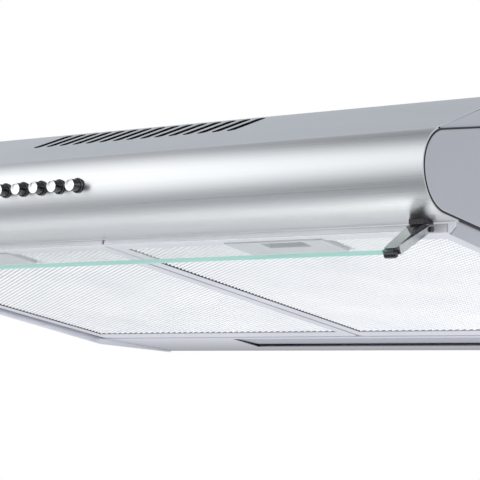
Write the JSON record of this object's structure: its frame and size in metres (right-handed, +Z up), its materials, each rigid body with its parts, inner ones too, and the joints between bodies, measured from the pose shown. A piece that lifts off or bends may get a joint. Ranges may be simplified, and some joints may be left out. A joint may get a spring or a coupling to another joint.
{
  "type": "under cabinet range hood",
  "caption": "Brushed steel under cabinet hood with rounded nose, slotted top strip, mesh grease filters that swing down, push buttons and a tilting glass visor.",
  "frame": {"origin": "centre line of the hood on the top plate, the face that goes against the cabinet, 300 mm in front of the wall face", "axes": "+X to the right seen from the front, +Y towards the wall, +Z up"},
  "size_m": [0.6, 0.4909, 0.1918],
  "materials": {
    "brushed_steel": "brushed lengthwise, satin",
    "galvanised_steel": "dull galvanised sheet",
    "motor_steel": "dull grey",
    "cap_plastic": "satin silver-grey moulded",
    "filter_aluminium": "satin rolled",
    "filter_mesh": "expanded mesh, bright",
    "grey_plastic": "matt moulded",
    "black_plastic": "satin moulded",
    "black_gloss": "glossy moulded",
    "black_rubber": "matt",
    "chrome": "polished",
    "visor_glass": "clear toughened, green edge",
    "frosted_cover": "frosted translucent",
    "lamp_glass": "opal",
    "white_plastic": "matt moulded"
  },
  "bodies": {
    "hood": {"front_panel": "brushed_steel", "vent_panel": "brushed_steel", "top_plate": "brushed_steel", "right_side_wall": "brushed_steel", "left_side_wall": "brushed_steel", "right_end_cap": "cap_plastic", "left_end_cap": "cap_plastic", "rear_wall": "galvanised_steel", "rear_base_panel": "brushed_steel", "lamp_cover": "frosted_cover", "front_rail": "galvanised_steel", "right_visor_bracket": "black_plastic", "left_visor_bracket": "black_plastic", "button_bezel_1": "black_gloss", "button_bezel_2": "black_gloss", "button_bezel_3": "black_gloss", "button_bezel_4": "black_gloss", "button_bezel_5": "black_gloss", "switch_housing": "black_plastic", "outlet_collar": "grey_plastic", "flap_pin": "chrome", "scroll_wall": "galvanised_steel", "right_scroll_side": "galvanised_steel", "left_scroll_side": "galvanised_steel", "motor": "motor_steel", "motor_bracket": "galvanised_steel", "right_lamp": "lamp_glass", "left_lamp": "lamp_glass", "right_lamp_holder": "white_plastic", "left_lamp_holder": "white_plastic", "terminal_box": "white_plastic", "capacitor": "white_plastic", "cable_gland": "black_plastic"},
    "right_filter": {"right_filter_frame": "filter_aluminium", "right_filter_mesh": "filter_mesh", "right_latch_housing": "grey_plastic"},
    "left_filter": {"left_filter_frame": "filter_aluminium", "left_filter_mesh": "filter_mesh", "left_latch_housing": "grey_plastic"},
    "right_latch": {"right_filter_latch": "black_plastic"},
    "left_latch": {"left_filter_latch": "black_plastic"},
    "visor": {"visor_glass": "visor_glass", "right_visor_arm": "chrome", "left_visor_arm": "chrome", "right_visor_heel": "black_plastic", "left_visor_heel": "black_plastic", "right_visor_tip": "black_rubber", "left_visor_tip": "black_rubber", "right_visor_pin": "black_plastic", "left_visor_pin": "black_plastic"},
    "key_off": {"button_off": "black_gloss"},
    "key_speed_1": {"button_speed_1": "black_gloss"},
    "key_speed_2": {"button_speed_2": "black_gloss"},
    "key_speed_3": {"button_speed_3": "black_gloss"},
    "key_lamp": {"button_lamp": "black_gloss"},
    "blower_wheel": {"impeller": "black_plastic", "motor_shaft": "chrome"},
    "front_damper": {"front_flap": "grey_plastic"},
    "rear_damper": {"rear_flap": "grey_plastic"}
  },
  "joints": [
    {"name": "visor_tilt", "type": "hinge", "parent": "hood", "child": "visor", "pos_m": [0, -0.1448, -0.0936], "axis": [1, 0, 0], "range_deg": [0, 65]},
    {"name": "right_filter_hinge", "type": "hinge", "parent": "hood", "child": "right_filter", "pos_m": [0.14615, 0.19135, -0.1516], "axis": [1, 0, 0], "range_deg": [0, 70]},
    {"name": "left_filter_hinge", "type": "hinge", "parent": "hood", "child": "left_filter", "pos_m": [-0.14615, 0.19135, -0.1516], "axis": [1, 0, 0], "range_deg": [0, 70]},
    {"name": "right_latch_slide", "type": "slide", "parent": "right_filter", "child": "right_latch", "axis": [0, 0.9837, -0.1797], "range_m": [0, 0.006], "stiffness_N_per_m": 250},
    {"name": "left_latch_slide", "type": "slide", "parent": "left_filter", "child": "left_latch", "axis": [0, 0.9837, -0.1797], "range_m": [0, 0.006], "stiffness_N_per_m": 250},
    {"name": "key_off_press", "type": "slide", "parent": "hood", "child": "key_off", "axis": [0, 1, 0], "range_m": [0, 0.003], "stiffness_N_per_m": 400},
    {"name": "key_speed_1_press", "type": "slide", "parent": "hood", "child": "key_speed_1", "axis": [0, 1, 0], "range_m": [0, 0.003], "stiffness_N_per_m": 400},
    {"name": "key_speed_2_press", "type": "slide", "parent": "hood", "child": "key_speed_2", "axis": [0, 1, 0], "range_m": [0, 0.003], "stiffness_N_per_m": 400},
    {"name": "key_speed_3_press", "type": "slide", "parent": "hood", "child": "key_speed_3", "axis": [0, 1, 0], "range_m": [0, 0.003], "stiffness_N_per_m": 400},
    {"name": "key_lamp_press", "type": "slide", "parent": "hood", "child": "key_lamp", "axis": [0, 1, 0], "range_m": [0, 0.003], "stiffness_N_per_m": 400},
    {"name": "blower_spin", "type": "hinge", "parent": "hood", "child": "blower_wheel", "pos_m": [0, 0.132, -0.066], "axis": [1, 0, 0], "continuous": true},
    {"name": "front_damper_hinge", "type": "hinge", "parent": "hood", "child": "front_damper", "pos_m": [0, 0.15, 0.008], "axis": [1, 0, 0], "range_deg": [-75, 0]},
    {"name": "rear_damper_hinge", "type": "hinge", "parent": "hood", "child": "rear_damper", "pos_m": [0, 0.15, 0.008], "axis": [1, 0, 0], "range_deg": [0, 75]}
  ]
}
